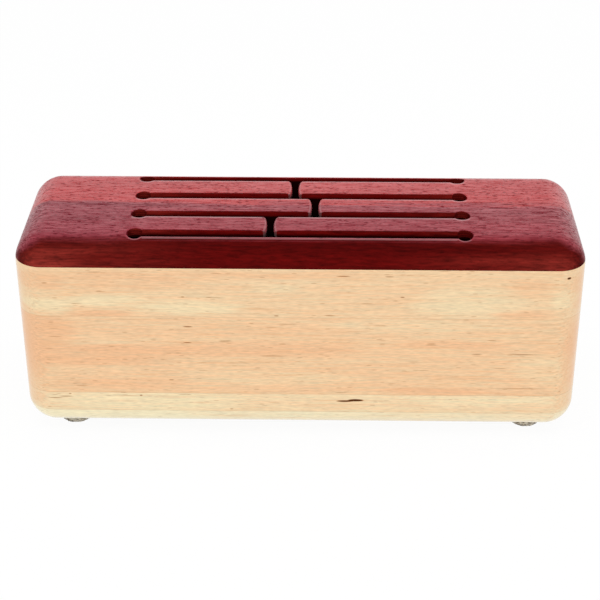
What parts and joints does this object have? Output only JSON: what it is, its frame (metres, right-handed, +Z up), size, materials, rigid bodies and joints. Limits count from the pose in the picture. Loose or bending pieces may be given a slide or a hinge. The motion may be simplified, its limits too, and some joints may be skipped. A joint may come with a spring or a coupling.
{
  "type": "slit drum",
  "caption": "Long wooden slit drum: a red hardwood soundboard sawn into tuned tongues, glued on a rounded box of pale edge-glued boards, on felt feet. Played with fingers or beaters.",
  "frame": {"origin": "centre of the drum's footprint, on the table under its felt feet", "axes": "+X along the drum to the player's right, +Y away from the player, +Z up"},
  "size_m": [0.3, 0.095, 0.119],
  "materials": {
    "red_hardwood": "oiled, satin, with dark pores along the grain",
    "pale_wood": "clear satin lacquer, fine straight grain",
    "felt": "mottled grey wool felt"
  },
  "bodies": {
    "drum_box": {"soundboard": "red_hardwood", "front_wall_lower_stave": "pale_wood", "front_wall_middle_stave": "pale_wood", "front_wall_upper_stave": "pale_wood", "back_wall_lower_stave": "pale_wood", "back_wall_middle_stave": "pale_wood", "back_wall_upper_stave": "pale_wood", "left_end_lower_stave": "pale_wood", "left_end_middle_stave": "pale_wood", "left_end_upper_stave": "pale_wood", "right_end_lower_stave": "pale_wood", "right_end_middle_stave": "pale_wood", "right_end_upper_stave": "pale_wood", "bottom_board": "pale_wood", "front_left_felt_foot": "felt", "front_right_felt_foot": "felt", "back_left_felt_foot": "felt", "back_right_felt_foot": "felt"},
    "front_left": {"front_left_tongue": "red_hardwood"},
    "front_right": {"front_right_tongue": "red_hardwood"},
    "middle_left": {"middle_left_tongue": "red_hardwood"},
    "middle_right": {"middle_right_tongue": "red_hardwood"},
    "back_left": {"back_left_tongue": "red_hardwood"},
    "back_right": {"back_right_tongue": "red_hardwood"}
  },
  "joints": [
    {"name": "front_left_flex", "type": "hinge", "parent": "drum_box", "child": "front_left", "pos_m": [-0.0856, -0.022, 0.11225], "axis": [0, 1, 0], "range_deg": [-0.5, 0.5], "stiffness_Nm_per_rad": 1680},
    {"name": "front_right_flex", "type": "hinge", "parent": "drum_box", "child": "front_right", "pos_m": [0.0856, -0.022, 0.11225], "axis": [0, -1, 0], "range_deg": [-0.5, 0.5], "stiffness_Nm_per_rad": 1150},
    {"name": "middle_left_flex", "type": "hinge", "parent": "drum_box", "child": "middle_left", "pos_m": [-0.0856, 0, 0.11225], "axis": [0, 1, 0], "range_deg": [-0.5, 0.5], "stiffness_Nm_per_rad": 1250},
    {"name": "middle_right_flex", "type": "hinge", "parent": "drum_box", "child": "middle_right", "pos_m": [0.0856, 0, 0.11225], "axis": [0, -1, 0], "range_deg": [-0.5, 0.5], "stiffness_Nm_per_rad": 1510},
    {"name": "back_left_flex", "type": "hinge", "parent": "drum_box", "child": "back_left", "pos_m": [-0.0856, 0.022, 0.11225], "axis": [0, 1, 0], "range_deg": [-0.5, 0.5], "stiffness_Nm_per_rad": 1430},
    {"name": "back_right_flex", "type": "hinge", "parent": "drum_box", "child": "back_right", "pos_m": [0.0856, 0.022, 0.11225], "axis": [0, -1, 0], "range_deg": [-0.5, 0.5], "stiffness_Nm_per_rad": 1310}
  ]
}
